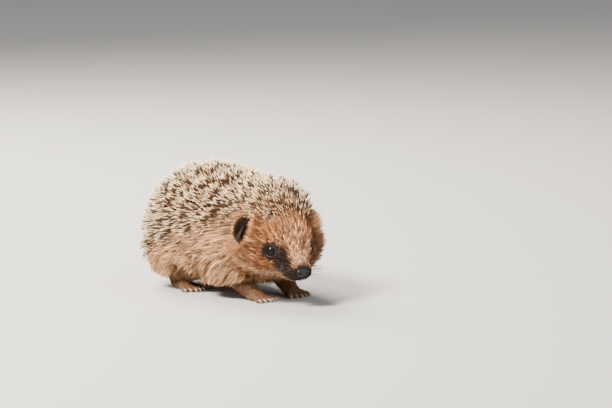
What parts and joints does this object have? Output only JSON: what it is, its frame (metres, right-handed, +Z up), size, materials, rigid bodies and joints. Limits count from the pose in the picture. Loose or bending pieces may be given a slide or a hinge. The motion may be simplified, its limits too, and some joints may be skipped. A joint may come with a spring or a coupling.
{
  "type": "hedgehog",
  "caption": "Young hedgehog crouching with its head turned to its right, banded spines over the back, long pale flank fur, short face fur.",
  "frame": {"origin": "on the floor, under the middle of the animal's bounding box", "axes": "+X forward along the trunk, +Y to the animal's left, +Z up"},
  "size_m": [0.145, 0.0832, 0.0783],
  "materials": {
    "spines": "satin",
    "fur": "matte",
    "skin": "matte",
    "nose": "moist",
    "eye": "polished"
  },
  "bodies": {
    "root": {"trunk": "spines", "neck": "spines", "head": "fur", "jaw": "fur", "nose": "nose", "eye_left": "eye", "eye_right": "eye", "ear_left": "skin", "ear_right": "skin", "leg_front_left": "skin", "leg_front_right": "skin", "leg_hind_left": "skin", "leg_hind_right": "skin", "tail": "skin"}
  },
  "joints": []
}
